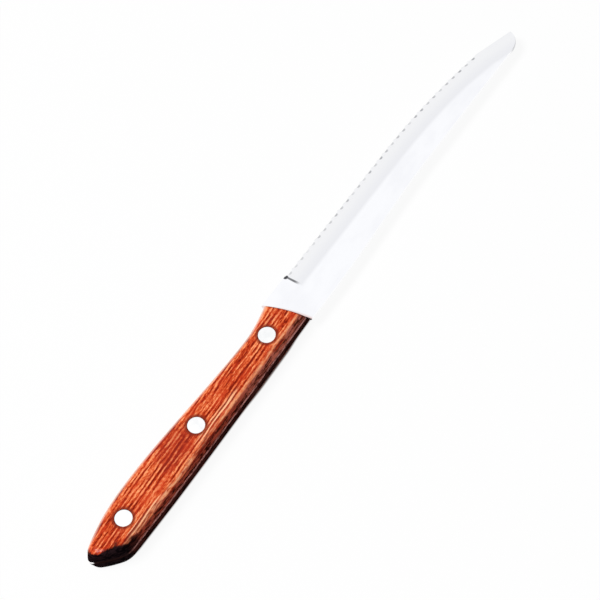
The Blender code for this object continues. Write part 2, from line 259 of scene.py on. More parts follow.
def edge_y(x):
    """The cutting edge before the teeth are cut, straight and then swept up."""
    swept = min(max(x, SWEEP_X), TEETH_END_X) - SWEEP_X
    y = HEEL_Y - swept * swept / (2 * SWEEP_RADIUS)
    past_teeth = max(x - TEETH_END_X, 0.0) / (TIP_X - TEETH_END_X)
    return mix(y, POINT_Y + POINT_WIDTH / 2, past_teeth)


def blade_rows(x, gullet, ground):
    """The upper and lower rows of (y, z) across the blade at x, spine to edge."""
    half = STEEL_THICKNESS / 2
    spine = spine_y(x)
    full_edge = edge_y(x)
    edge = full_edge - TOOTH_DEPTH * gullet
    bevel = max(full_edge - BEVEL_WIDTH, mix(spine, edge, LEAST_FLAT_SHARE))
    facet_run = mix(FACET_AT_TOOTH_TIP, TOOTH_FACET, gullet ** FACET_GROWTH)
    facet = edge - min(facet_run, (edge - bevel) / 2)
    spine_break = min(STEEL_EDGE_BREAK, (bevel - spine) / 3)
    edge_break = mix(STEEL_EDGE_BREAK, GROUND_EDGE_BREAK, ground)

    def surface(y):
        across = min(max((y - bevel) / (full_edge - bevel), 0.0), 1.0)
        return mix(half, mix(half, EDGE_THICKNESS / 2, across), ground)

    rows = [spine + spine_break, mix(spine + spine_break, bevel, 0.5)]
    rows += spread(bevel, facet, FACET_STEPS)[:-1]
    facet_rows = spread(facet, edge - edge_break, FACET_STEPS)
    upper = [(y, surface(y)) for y in rows]
    cut_to = mix(surface(edge), TOOTH_LAND - surface(edge), gullet * ground)
    for step, y in enumerate(facet_rows):
        share = step / FACET_STEPS
        hollow = FACET_HOLLOW * gullet * 4 * share * (1 - share)
        upper.append((y, mix(surface(facet), cut_to, share) - hollow * ground))
    lower = [(y, -surface(y)) for y in rows + facet_rows]
    return spine, edge, upper, lower


def blade_loop(x, gullet, ground):
    """One closed loop of points round the blade: upper face, edge, lower face, spine."""
    spine, edge, upper, lower = blade_rows(x, gullet, ground)
    fade = max(1 - (x - PLUNGE_X) / PLUNGE_FADE, 0.0)

    def place(y, z):
        ahead = PLUNGE_SLANT * (HEEL_Y - max(y, HEEL_Y - BEVEL_WIDTH)) * fade
        return Vector((x + ahead, y, MID_Z + z))

    top, bottom = upper[-1][1], lower[-1][1]
    if ground:
        edge_top = mix(top, bottom, EDGE_ROUNDING)
        edge_bottom = mix(top, bottom, 1 - EDGE_ROUNDING)
    else:
        edge_top, edge_bottom = top - STEEL_EDGE_BREAK, bottom + STEEL_EDGE_BREAK
    wall = STEEL_THICKNESS / 2 - STEEL_EDGE_BREAK
    near_point = blend(0, 1, (x - TIP_X + POINT_THINNING_RUN) / POINT_THINNING_RUN)
    spine_wall = mix(wall, wall * POINT_THINNING, near_point)
    loop = [place(y, z) for y, z in upper]
    loop += [place(edge, edge_top), place(edge, edge_bottom)]
    loop += [place(y, z) for y, z in reversed(lower)]
    loop += [place(spine, -spine_wall), place(spine, spine_wall)]
    return loop


def blade_stations():
    """X, gullet share and grind share of each loop from the plunge to the point."""
    stations = [
        (PLUNGE_X + PLUNGE_RUN * step / PLUNGE_STEPS, 0.0, blend(0, 1, step / PLUNGE_STEPS))
        for step in range(PLUNGE_STEPS + 1)
    ]
    toothed = spread(PLUNGE_X + PLUNGE_RUN, TEETH_END_X, TEETH * TOOTH_STEPS)
    for step, x in enumerate(toothed[1:], 1):
        along = step % TOOTH_STEPS / TOOTH_STEPS
        stations.append((x, 1 - (2 * along - 1) ** 2 if along else 0.0, 1.0))
    for x in spread(TEETH_END_X, TIP_X - POINT_ROUNDING, SWEEP_STEPS)[1:]:
        stations.append((x, 0.0, 1.0))
    for angle in quarter_turn(POINT_STEPS)[1:]:
        stations.append((TIP_X - POINT_ROUNDING * (1 - math.sin(angle)), 0.0, 1.0))
    return stations


def plate_corner(y, inwards):
    """The rounded corner of the blade at the handle's front line."""
    points = []
    for angle in quarter_turn(CORNER_STEPS):
        corner_y = y + inwards * BLADE_CORNER_RADIUS * (1 - math.sin(angle))
        corner_x = front_x(corner_y) + BLADE_CORNER_RADIUS * (1 - math.cos(angle))
        points.append((corner_x, corner_y))
    return points


def heel_notch():
    """The small round notch between the grind and the ricasso."""
    points = []
    for step in range(1, NOTCH_STEPS + 1):
        angle = math.pi * step / NOTCH_STEPS
        notch_x = PLUNGE_X - HEEL_NOTCH_RADIUS * (1 - math.cos(angle))
        points.append((notch_x, HEEL_Y - HEEL_NOTCH_RADIUS * math.sin(angle)))
    return points


def moved_in(points, distance):
    """An open outline, run with the steel on its left, moved into the steel."""
    moved = []
    for index, point in enumerate(points):
        before = points[max(index - 1, 0)]
        after = points[min(index + 1, len(points) - 1)]
        run = Vector((after[0] - before[0], after[1] - before[1])).normalized()
        moved.append((point[0] - run.y * distance, point[1] + run.x * distance))
    return moved


def skin(shape, rings):
    """Join each closed ring of points to the next with a band of faces."""
    for here, ahead in zip(rings, rings[1:]):
        for index in range(len(here)):
            after = (index + 1) % len(here)
            shape.faces.new((here[index], here[after], ahead[after], ahead[index]))


def shade(mesh):
    """Shade a mesh smooth, apart from its sharp edges."""
    mesh.shade_smooth()
    mesh.set_sharp_from_angle(angle=math.radians(SHARP_DEGREES))


def finished(name, shape, material):
    """Turn the shape into a smooth-shaded object with a finish, facing outwards."""
    bmesh.ops.recalc_face_normals(shape, faces=shape.faces)
    mesh = bpy.data.meshes.new(name)
    shape.to_mesh(mesh)
    shape.free()
    shade(mesh)
    mesh.materials.append(material)
    piece = bpy.data.objects.new(name, mesh)
    bpy.context.collection.objects.link(piece)
    return piece


def blade_shape():
    """The blank's flat plate, then the ground blade in loops that close at the point."""
    shape = bmesh.new()
    loops = [
        [shape.verts.new(point) for point in blade_loop(*station)]
        for station in blade_stations()
    ]
    outline = heel_notch() + plate_corner(HEEL_Y, -1)[::-1]
    outline += handle_outline(0.0, 0.0, POINT_REACH)
    outline += plate_corner(SPINE_Y, 1)
    inner = moved_in(outline, STEEL_EDGE_BREAK)
    half = STEEL_THICKNESS / 2
    wall = half - STEEL_EDGE_BREAK
    rings = [
        [shape.verts.new((x, y, MID_Z + z)) for x, y in points]
        for points, z in ((inner, half), (outline, wall), (outline, -wall), (inner, -half))
    ]
    first = loops[0]
    rows = len(first) // 2 - 2
    edge_end = first[rows - 1:rows + 3]
    spine_end = [first[0], first[-1], first[-2], first[-3]]
    strips = [
        [edge] + ring + [spine]
        for edge, ring, spine in zip(edge_end, rings, spine_end)
    ]
    for upper, lower in zip(strips, strips[1:]):
        for corners in zip(upper, upper[1:], lower[1:], lower):
            shape.faces.new(corners)
    shape.faces.new(rings[0] + first[:rows])
    shape.faces.new(rings[3] + first[rows + 2:-2][::-1])
    skin(shape, loops)
    shape.faces.new(loops[-1])
    return shape


class Link:
    """An output socket in a material, with sums on it written as Python expressions."""

    def __init__(self, tree, socket=None):
        self.tree = tree
        self.socket = socket

    def node(self, kind, settings=None, values=None, output=0):
        """Add a node: its settings are made first, then its sockets' values or links."""
        made = self.tree.nodes.new(kind)
        for name, setting in (settings or {}).items():
            if name == "stops":
                ramp = made.color_ramp
                while len(ramp.elements) < len(setting):
                    ramp.elements.new(1.0)
                for element, (position, colour) in zip(ramp.elements, setting):
                    element.position = position
                    element.color = (*colour, 1)
            else:
                setattr(made, name, setting)
        for name, value in (values or {}).items():
            if isinstance(value, Link):
                self.tree.links.new(value.socket, made.inputs[name])
            else:
                made.inputs[name].default_value = value
        return Link(self.tree, made.outputs[output] if made.outputs else None)

    def sum(self, operation, first, second=0.0):
        """Work out one sum of one or two numbers, such as SINE or ADD."""
        return self.node("ShaderNodeMath", {"operation": operation}, {0: first, 1: second})

    def __add__(self, other):
        return self.sum("ADD", self, other)

    __radd__ = __add__

    def __sub__(self, other):
        return self.sum("SUBTRACT", self, other)

    def __rsub__(self, other):
        return self.sum("SUBTRACT", other, self)

    def __mul__(self, other):
        return self.sum("MULTIPLY", self, other)

    __rmul__ = __mul__

    def __truediv__(self, other):
        return self.sum("DIVIDE", self, other)

    def __pow__(self, other):
        return self.sum("POWER", self, other)

    def at_least(self, other):
        """The larger of this and another number or mask."""
        return self.sum("MAXIMUM", self, other)

    def at_most(self, other):
        """The smaller of this and another number or mask."""
        return self.sum("MINIMUM", self, other)

    def step(self, low, high):
        """A smooth step from 0 at low to 1 at high, which may be the lower number."""
        return self.node(
            "ShaderNodeMapRange", {"interpolation_type": "SMOOTHSTEP"},
            {"Value": self, "From Min": low, "From Max": high},
        )

    def window(self, begin, full, fading, end):
        """Smoothly 0 at begin, 1 from full to fading and 0 again at end."""
        return self.step(begin, full) * self.step(end, fading)

    def between(self, low, high):
        """Scale 0 to 1 up to low to high."""
        return self * (high - low) + low

    def tint(self, first, second):
        """Mix two colours, first where this is 0 and second where it is 1."""
        colours = [c if isinstance(c, Link) else (*c, 1) for c in (first, second)]
        return self.node(
            "ShaderNodeMix", {"data_type": "RGBA"},
            {0: self, 6: colours[0], 7: colours[1]}, output=2,
        )

    def stretched(self, along, across, through):
        """Stretch a position, given as how many times it repeats in a metre each way."""
        return self.node(
            "ShaderNodeVectorMath", {"operation": "MULTIPLY"},
            {0: self, 1: (along, across, through)},
        )

    def noise(self, detail, roughness):
        """Noise from 0 to 1 over this position."""
        return self.node(
            "ShaderNodeTexNoise", {},
            {"Vector": self, "Scale": 1.0, "Detail": detail, "Roughness": roughness},
        )

    def part(self, axis):
        """One coordinate of this position."""
        return self.node("ShaderNodeSeparateXYZ", {}, {0: self}, output="XYZ".index(axis))


def edge_line(x):
    """The cutting edge before the teeth as a function of a material's x."""
    swept = x.at_least(SWEEP_X).at_most(TEETH_END_X) - SWEEP_X
    drop = (x - TEETH_END_X).at_least(0.0) / (TIP_X - TEETH_END_X)
    last = HEEL_Y - (TEETH_END_X - SWEEP_X) ** 2 / (2 * SWEEP_RADIUS) - POINT_Y
    return HEEL_Y - swept * swept / (2 * SWEEP_RADIUS) - drop * last


def finish(name):
    """A new material, its shader's sockets, a start link and the place on the object."""
    made = bpy.data.materials.new(name)
    made.use_nodes = True
    start = Link(made.node_tree)
    place = start.node("ShaderNodeTexCoord", output=3)
    return made, made.node_tree.nodes["Principled BSDF"].inputs, start, place


def feed(sockets, name, value):
    """Give a shader's socket a number, a colour or a link."""
    if isinstance(value, Link):
        value.tree.links.new(value.socket, sockets[name])
    else:
        sockets[name].default_value = value


def roughened(start, height, distance, strength=1.0):
    """A bump from a height that goes from 0 to 1, with the given depth in metres."""
    values = {"Height": height, "Distance": distance, "Strength": strength}
    return start.node("ShaderNodeBump", {}, values)


# Colours of the bare steel, of its painted light and shade, and of the wood's stain and
# painted reflection on it
FLAT_STEEL = ((0.950, 0.957, 0.985), (0.915, 0.922, 0.955))
BEVEL_STEEL = ((0.838, 0.845, 0.876), (0.885, 0.890, 0.908))
SPINE_LIGHT_AND_TIP_SHADE = ((0.990, 0.990, 1.000), (0.600, 0.605, 0.630))
HOLLOW_SHADE_STEEL = (0.400, 0.405, 0.425)
GRIND_END_AND_NOTCH_DARK = (0.060, 0.060, 0.068)
GLINTING_STEEL = (0.97, 0.95, 0.95)
WOOD_REFLECTION_TINT = (0.720, 0.400, 0.340)
TANG_STAIN_AND_SHADE = ((0.170, 0.045, 0.038), (0.680, 0.300, 0.265))
GUARD_TANG_HIGHLIGHT = (0.900, 0.420, 0.380)
BUTT_TANG_SHADE = (0.014, 0.007, 0.008)
SHOULDER_SHADE = (0.020, 0.007, 0.006)


def satin_steel():
    """Stainless steel: satin on the flats, ground on the bevel, stained on the tang, with
    painted light and shade.
    """
    made, sockets, start, place = finish("satin_steel")
    x, y = place.part("X"), place.part("Y")
    facing = start.node("ShaderNodeNewGeometry", output=1)
    upright = facing.part("Z")
    widening = x.step(0.130, 0.152) * 0.0009
    bevel_share = (edge_line(x) - y) / (BEVEL_WIDTH + widening)
    ahead = x.step(PLUNGE_X, PLUNGE_X + PLUNGE_RUN)
    on_bevel = bevel_share.step(1.16, 0.93) * ahead
    along = place.stretched(60, 9000, 60).noise(3.0, 0.6)
    across = place.stretched(11000, 60, 60).noise(3.0, 0.6)
    cloud = place.stretched(90, 160, 90).noise(2.0, 0.5)
    grain = on_bevel.tint(along, across)
    flat_colour = cloud.step(0.35, 0.7).tint(*FLAT_STEEL)
    bevel_colour = bevel_share.step(0.95, 0.25).tint(*BEVEL_STEEL)
    steel = on_bevel.tint(flat_colour, bevel_colour)
    # Painted light: the spine's wall is painted lighter, and near the point it is painted
    # shade
    spine_wall = facing.part("Y").step(-0.3, -0.8)
    steel = spine_wall.tint(steel, x.step(0.1540, 0.1570).tint(*SPINE_LIGHT_AND_TIP_SHADE))
    # The hollows between the teeth are painted darker, as painted shade
    pitch = (TEETH_END_X - PLUNGE_X - PLUNGE_RUN) / TEETH
    tooth = start.sum("FRACT", (x - (PLUNGE_X + PLUNGE_RUN)) / pitch)
    hollow_x = (tooth - 0.5) * (pitch / 0.00070)
    hollow_y = (edge_line(x) - y - 0.00058) / 0.00056
    hollow = (hollow_x * hollow_x + hollow_y * hollow_y).step(1.7, 0.1)
    before_teeth_end = x.step(TEETH_END_X + 0.0001, TEETH_END_X - 0.0001)
    hollow = hollow * ahead * before_teeth_end * upright.step(0.0, 0.3)
    uneven = place.stretched(190, 0, 0).noise(0.0, 0.5).step(0.30, 0.62)
    clearer_ahead = x.step(0.040, 0.090).between(0.45, 0.95)
    hollow = hollow * uneven.between(0.25, 1.0) * clearer_ahead
    steel = hollow.tint(steel, HOLLOW_SHADE_STEEL)
    # The end of the grind is painted dark, and beside the notch the dark is painted shade
    grind_end = x + (y - HEEL_Y) * PLUNGE_SLANT
    grind_mark = grind_end.window(
        PLUNGE_X - 0.00035, PLUNGE_X, PLUNGE_X + 0.0005, PLUNGE_X + 0.0009,
    )
    grind_mark = grind_mark * y.step(0.0036, 0.0062).between(0.0, 0.85)
    notch_x, notch_y = x - (PLUNGE_X + 0.0001), y - (HEEL_Y - 0.00035)
    square_mm_from_notch = (notch_x * notch_x + notch_y * notch_y) * 1e6
    notch_shade = square_mm_from_notch.step(1.1, 0.5)
    steel = grind_mark.at_least(notch_shade).tint(steel, GRIND_END_AND_NOTCH_DARK)
    # The flat close to the handle has a painted reflection of the wood. Inside the handle
    # the blank keeps the stain of the wood with painted shade over it on the tang's edges,
    # and the shoulder beside the handle's front is painted shade
    past_front = x - front_x(y)
    wood_reflection = past_front.step(0.0011, 0.0001) * upright.step(0.5, 0.8) * 0.55
    steel = wood_reflection.tint(steel, WOOD_REFLECTION_TINT)
    in_handle = past_front.step(0.00005, -0.0002)
    # Painted shade on the blade's shoulder that faces the handle on the spine side
    shoulder = facing.part("X").step(-0.35, -0.8) * past_front.step(0.0012, 0.0008)
    shoulder = shoulder * upright.step(0.9, 0.7) * y.step(0.0, -0.001)
    stain_and_shade = in_handle.at_least(shoulder)
    butt_glint = x.step(BUTT_X + 0.0014, BUTT_X + 0.0010)
    # Painted shade on the tang round the butt, deepest towards its end
    at_butt = (x - (BUTT_POINT_Y - y) * BUTT_SLANT).step(BUTT_X + 0.0014, BUTT_X + 0.0004)
    at_butt = at_butt.at_least(x.step(-0.0570, -0.0660) * 0.75)
    patchy = place.stretched(520, 900, 1800).noise(2.0, 0.6)
    # The tang's edges carry the wood's stain with painted shade over it
    stained_and_shaded = (patchy * 0.7 + along * 0.3).step(0.42, 0.58).tint(*TANG_STAIN_AND_SHADE)
    # Painted highlight on the tang's edge near the guard
    stained_and_shaded = (x.step(0.0210, 0.0260) * 0.45).tint(stained_and_shaded, GUARD_TANG_HIGHLIGHT)
    stained_and_shaded = (at_butt * 0.96).tint(stained_and_shaded, BUTT_TANG_SHADE)
    stained_and_shaded = butt_glint.tint(stained_and_shaded, GLINTING_STEEL)
    stained_and_shaded = shoulder.tint(stained_and_shaded, SHOULDER_SHADE)
    feed(sockets, "Base Color", stain_and_shade.tint(steel, stained_and_shaded))
    feed(sockets, "Specular IOR Level", 0.0)
    feed(sockets, "Metallic", 1 - stain_and_shade * (1 - butt_glint))
    feed(sockets, "Roughness", grain.between(0.12, 0.20) + stain_and_shade * 0.4)
    feed(sockets, "Normal", roughened(start, grain, 0.000002))
    return made


blade = finished("satin_blade", blade_shape(), satin_steel())
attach(blade, "root")
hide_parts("blade")


# Scales
# Two slabs of birch veneers, dyed red and orange and pressed into one block with resin,
# glued and riveted to the tang and sanded flush with it. Rounded edges show the veneers
# as contour lines, the fronts lean back as they rise, and clear lacquer lies on top.

SCALE_THICKNESS = 0.00455
GLUE_LINE = 0.00002
CLEARANCE = 0.0003
SHOULDER_RADIUS = 0.0020
FRONT_LEAN = {1: 0.418, -1: 0.300}
FRONT_EDGE_BREAK = 0.00025
POINT_REACH_AT_FACE = 0.0046
RIVET_PITCH = 0.0388
RIVET_PLACES = {
    "front": RIVET_PITCH / 2, "middle": -RIVET_PITCH / 2, "rear": -RIVET_PITCH * 1.5,
}
HEAD_RADIUS = 0.0030
HEAD_HEIGHT = 0.0013
HEAD_GAP = 0.00010
SHANK_RADIUS = 0.0021
HANDLE_THICKNESS = 2 * MID_Z
WALL_STEPS = 4
SHOULDER_STEPS = 12
FRONT_STEPS = 24
TURN_STEPS = 96


def scale_shape(side):
    """A slab in rings from the tang out to the face, closed by a flat at each end.

    Side is 1 for the upper and -1 for the lower scale. The front goes back by its lean
    for each metre upwards, so the front of the lower scale comes forwards downwards.
    """
    shape = bmesh.new()
    low = STEEL_THICKNESS / 2 + GLUE_LINE
    high = STEEL_THICKNESS / 2 + CLEARANCE + SCALE_THICKNESS
    shoulder = high - SHOULDER_RADIUS
    levels = [(height, 0.0) for height in spread(low, shoulder, WALL_STEPS)[:-1]]
    for angle in quarter_turn(SHOULDER_STEPS):
        height = shoulder + SHOULDER_RADIUS * math.sin(angle)
        levels.append((height, SHOULDER_RADIUS * (1 - math.cos(angle))))
    rings = []
    for height, inset in levels:
        share = max(height - STEEL_THICKNESS / 2 - CLEARANCE, 0.0) / SCALE_THICKNESS
        break_share = max(height - high + FRONT_EDGE_BREAK, 0.0) / FRONT_EDGE_BREAK
        setback = FRONT_LEAN[side] * (side * height - STEEL_THICKNESS / 2)
        setback += FRONT_EDGE_BREAK * (1 - math.sqrt(max(1 - break_share ** 2, 0.0)))
        point_reach = mix(POINT_REACH, POINT_REACH_AT_FACE, share)
        points = handle_outline(inset, setback, point_reach)
        for y in spread(points[-1][1], points[0][1], FRONT_STEPS)[1:-1]:
            points.append((front_x(y) - setback, y))
        rings.append([shape.verts.new((x, y, MID_Z + side * height)) for x, y in points])
    skin(shape, rings)
    shape.faces.new(rings[0])
    shape.faces.new(rings[-1])
    return shape


def turned(profile):
    """A closed shape turned about Z from (radius, z) points, on the axis at both ends."""
    shape = bmesh.new()
    turns = [2 * math.pi * step / TURN_STEPS for step in range(TURN_STEPS)]
    rings = []
    for radius, z in profile:
        if radius == 0:
            rings.append([shape.verts.new((0, 0, z))])
            continue
        rings.append([
            shape.verts.new((radius * math.cos(angle), radius * math.sin(angle), z))
            for angle in turns
        ])
    for ring, following in zip(rings, rings[1:]):
        for step in range(TURN_STEPS):
            after = (step + 1) % TURN_STEPS
            corners = [ring[step % len(ring)], ring[after % len(ring)]]
            corners += [following[after % len(following)], following[step % len(following)]]
            shape.faces.new(list(dict.fromkeys(corners)))
    return shape


# Colours of the dyed veneers from the darkest to the lightest, with their places on the
# scale of tones, and then those of the patches, the pale veneers and painted highlights,
# the painted shade on the walls, the stain round the rivets and the painted shade on the
# front edge
VENEER_TONES = [
    (0.41, (0.200, 0.008, 0.001)), (0.455, (0.400, 0.026, 0.004)),
    (0.497, (0.570, 0.070, 0.017)), (0.54, (0.750, 0.140, 0.042)),
    (0.60, (0.950, 0.350, 0.150)),
]
BLOTCH_RED = (0.600, 0.045, 0.012)
PATCH_RED = (0.370, 0.030, 0.017)
SPINE_SHOULDER_HIGHLIGHT = ((0.900, 0.220, 0.085), (1.000, 0.460, 0.240))
FACE_CREAM = (1.000, 0.530, 0.290)
EDGE_SHOULDER_HIGHLIGHT = (1.000, 0.480, 0.270)
WALL_SHADE = ((0.035, 0.004, 0.002), (0.460, 0.075, 0.042))
FRONT_WALL_SHADE = ((0.065, 0.007, 0.003), (0.620, 0.160, 0.105))
LOWER_WALL_SHADE = ((0.010, 0.003, 0.003), (0.034, 0.010, 0.009))
BUTT_WALL_SHADE = ((0.003, 0.002, 0.003), (0.015, 0.008, 0.010))
RIVET_STAIN = (0.210, 0.022, 0.009)
FRONT_EDGE_SHADE = (0.045, 0.008, 0.005)
VENEER_CLIMB = 0.035
GLUE_LINE_PITCH = 0.00142


def spine_line(x):
    """The handle's side over the spine as a function of a material's x."""
    share = (x - BELLY_X).at_least(0.0) / (front_x(GUARD_SPINE_Y) - BELLY_X)
    return (share ** SPINE_DROOP) * (GUARD_SPINE_Y - BELLY_SPINE_Y) + BELLY_SPINE_Y


def dyed_veneer():
    """Red and orange dyed birch veneers under lacquer, with painted highlights on the
    shoulders and painted shade on the walls and the front edge.
    """
    made, sockets, start, place = finish("dyed_veneer")
    x, y, z = place.part("X"), place.part("Y"), place.part("Z")
    facing = start.node("ShaderNodeNewGeometry", output=1)
    # The veneers run nearly along the handle and climb a little towards the front
    wander = place.stretched(80, 160, 150).noise(1.0, 0.4)
    across = y - x * VENEER_CLIMB + (wander - 0.5) * 0.0011
    half_height = start.sum("ABSOLUTE", z - MID_Z)
    lay = start.node("ShaderNodeCombineXYZ", {}, {0: x, 1: across, 2: half_height * 0.9})
    broad = lay.stretched(35, 600, 500).noise(1.0, 0.5)
    fine = lay.stretched(90, 1350, 1000).noise(1.0, 0.5)
    fibre = lay.stretched(380, 2300, 2100).noise(1.0, 0.6)
    pores = lay.stretched(1150, 2600, 2600).noise(0.0, 0.5)
    depth = across + (broad - 0.5) * 0.0014 + half_height * 0.25
    glue_line = start.sum("SINE", depth * (2 * math.pi / GLUE_LINE_PITCH))
    # A redder part of the block lies behind the middle rivet
    patch = place.stretched(90, 190, 90).noise(1.5, 0.5)
    red_x, red_y = (x + 0.0285) / 0.0100, (y - 0.0005) / 0.0060
    red = (red_x * red_x + red_y * red_y + (patch - 0.5) * 3.0).step(1.3, 0.2)
    darker = red * 0.020 + x.step(-0.0460, -0.0560) * 0.026
    tone = broad * 0.22 + fine * 0.37 + fibre * 0.27 + pores * 0.14 + glue_line * 0.055
    wood = start.node("ShaderNodeValToRGB", {"stops": VENEER_TONES}, {0: tone - darker})
    blotch = place.stretched(170, 420, 300).noise(1.0, 0.5)
    mottle = place.stretched(450, 1700, 1700).noise(2.0, 0.6)
    drift = place.stretched(150, 420, 420).noise(1.0, 0.5)
    wood = (blotch.step(0.50, 0.68) * 0.45).tint(wood, BLOTCH_RED)
    wood = (red * 0.38).at_least(patch.step(0.60, 0.72) * 0.35).tint(wood, PATCH_RED)
    # A painted highlight on the shoulder over the spine, broken into streaks by the veneers
    from_spine = y - spine_line(x)
    on_shoulder = from_spine.step(0.0017, 0.0010)
    from_spine = from_spine + (drift - 0.5) * 0.0011 + (fine - 0.5) * 0.0007
    unbroken = x.step(0.0160, 0.0060) * 0.7 + x.window(0.0150, 0.0180, 0.0220, 0.0240) * 0.8
    near_spine = from_spine.window(0.0017, 0.0012, 0.0005, 0.0001)
    near_spine = near_spine * drift.step(0.40, 0.54).at_least(unbroken)
    near_spine = near_spine * mottle.step(0.36, 0.52).between(0.60, 1.0)
    streaks = (fine * 0.45 + broad * 0.20 + fibre * 0.35).step(0.44, 0.56)
    shoulder_highlight = mottle.step(0.38, 0.56).tint(*SPINE_SHOULDER_HIGHLIGHT)
    wood = (near_spine * streaks.between(0.40, 1.0) * 0.88).tint(wood, shoulder_highlight)
    # Two pale bands run further in, round the middle rivet and before the butt
    middle_x = (x + 0.0130) / 0.0120
    pale = (middle_x * middle_x).step(1.2, 0.2)
    pale = pale * from_spine.step(0.0036, 0.0030) * from_spine.step(0.0014, 0.0019)
    pale_rear = x.window(-0.0440, -0.0490, -0.0600, -0.0640)
    pale_rear = pale_rear * from_spine.step(0.0027, 0.0021)
    pale_rear = pale_rear * from_spine.step(0.0008, 0.0013)
    pale = pale.at_least(pale_rear * 0.85)
    lines = (glue_line * 0.8 + (fine - 0.5) * 2.4).step(-0.1, 0.5)
    wood = (pale * lines.between(0.05, 0.95)).tint(wood, FACE_CREAM)
    # The walls all round are painted dark as shade, with the plies as streaks in them, up
    # to a ragged line that rises and falls along the handle; they are darkest on the spine
    # side below the tang and at the butt
    slant = math.hypot(1, BUTT_SLANT)
    from_butt = (x - (BUTT_POINT_Y - y) * BUTT_SLANT - (BUTT_X - BUTT_BULGE * 0.5)) / slant
    butt_side = from_butt.step(0.0056, 0.0036) * y.step(0.0045, 0.0025)
    spine_wall = y.step(0.0, -0.0030)
    at_end = from_butt.step(0.0022, 0.0008)
    wall_line = spine_wall.between(0.0036, 0.0045) + butt_side * 0.00075 + at_end * 0.00040
    wall_line = wall_line + x.window(-0.0160, -0.0240, -0.0400, -0.0480) * -0.00025
    wall_line = wall_line + x.window(0.0140, 0.0170, 0.0220, 0.0240) * -0.0005
    wall_line = wall_line + x.step(0.0230, 0.0260) * 0.0003
    ragged = (spine_wall * (1 - butt_side)).between(0.0010, 0.0026)
    wall_line = wall_line + (drift - 0.5) * 0.0014 + (mottle - 0.5) * ragged
    on_shoulder = on_shoulder.at_least(from_butt.step(0.0034, 0.0024))
    wall = (half_height - wall_line).step(0.00035, -0.00025)
    wall = wall * on_shoulder.at_least(1 - spine_wall)
    plies = place.stretched(40, 300, 2300).noise(2.0, 0.55)
    wall_tone = plies + (mottle * 0.55 + drift * 0.30 + fine * 0.15 - plies) * spine_wall
    wall_tone = wall_tone.step(0.435, 0.565)
    towards_front = x.step(-0.0080, 0.0060)
    wall_colour = wall_tone.tint(*WALL_SHADE)
    wall_colour = towards_front.tint(wall_colour, wall_tone.tint(*FRONT_WALL_SHADE))
    below_tang = z.step(MID_Z + 0.0002, MID_Z - 0.0004)
    deepest = butt_side.at_least(spine_wall * below_tang)
    wall_colour = (deepest * 0.93).tint(wall_colour, wall_tone.tint(*LOWER_WALL_SHADE))
    wall_colour = (at_end * 0.95).tint(wall_colour, wall_tone.tint(*BUTT_WALL_SHADE))
    wood = wall.tint(wood, wall_colour)
    # Stain gathers round the rivets, and the front edge is painted dark as shade, darker
    # towards the spine
    lean = z.step(MID_Z - 0.0001, MID_Z + 0.0001).between(FRONT_LEAN[-1], FRONT_LEAN[1])
    past_front = x - front_x(y) + (z - MID_Z - STEEL_THICKNESS / 2) * lean
    front_edge_shade = (past_front + fine * 0.0006).step(-0.0002, 0.0003)
    front_edge_shade = front_edge_shade * y.step(-0.0020, -0.0045).between(0.62, 0.90)
    for rivet_x in RIVET_PLACES.values():
        reach = start.sum("SQRT", (x - rivet_x) * (x - rivet_x) + y * y)
        ring = reach.step(HEAD_RADIUS + 0.00130, HEAD_RADIUS + 0.00045)
        ring = ring * fine.step(0.35, 0.60).between(0.95, 0.80)
        wood = ring.tint(wood, RIVET_STAIN)
    wood = front_edge_shade.tint(wood, FRONT_EDGE_SHADE)
    # A painted highlight on the upper shoulder over the cutting edge, paler where it faces
    # that way
    edge_shoulder_highlight = facing.part("Y").step(0.34, 0.75) * z.step(MID_Z + 0.0036, MID_Z + 0.0042)
    wood = (edge_shoulder_highlight * fine.step(0.30, 0.60).between(0.45, 0.80)).tint(wood, EDGE_SHOULDER_HIGHLIGHT)
    lacquer = facing.part("Y").step(0.22, 0.60) * (1 - wall)
    feed(sockets, "Base Color", wood)
    feed(sockets, "Roughness", fine.between(0.34, 0.50))
    feed(sockets, "Specular IOR Level", 0.0)
    feed(sockets, "Coat Weight", lacquer.between(0.03, 1.0) * (1 - wall))
    feed(sockets, "Coat Roughness", 0.16)
    feed(sockets, "Coat IOR", 2.6)
    feed(sockets, "Normal", roughened(start, fibre * 0.6 + fine * 0.4, 0.00003, 0.5))
    return made


def stepped_bore(name, x):
    """The cutter for one rivet's bore through both scales and the tang."""
    head, shank = HEAD_RADIUS + HEAD_GAP, SHANK_RADIUS + CLEARANCE
    lower, upper = HEAD_HEIGHT + CLEARANCE, HANDLE_THICKNESS - HEAD_HEIGHT - CLEARANCE
    beyond = SCALE_THICKNESS / 2
    bottom, top = -beyond, HANDLE_THICKNESS + beyond
    cutter = finished(name, turned([
        (0, bottom), (head, bottom), (head, lower), (shank, lower),
        (shank, upper), (head, upper), (head, top), (0, top),
    ]), veneer)
    cutter.location.x = x
    return cutter


def bored(piece, cutters):
    """Cut the rivets' bores into a piece and keep the result as its mesh."""
    for cutter in cutters:
        cut = piece.modifiers.new("bore", "BOOLEAN")
        cut.operation = "DIFFERENCE"
        cut.object = cutter
    bpy.context.view_layer.update()
    evaluated = piece.evaluated_get(bpy.context.evaluated_depsgraph_get())
    mesh = bpy.data.meshes.new_from_object(evaluated)
    piece.modifiers.clear()
    piece.data = mesh
    shade(mesh)


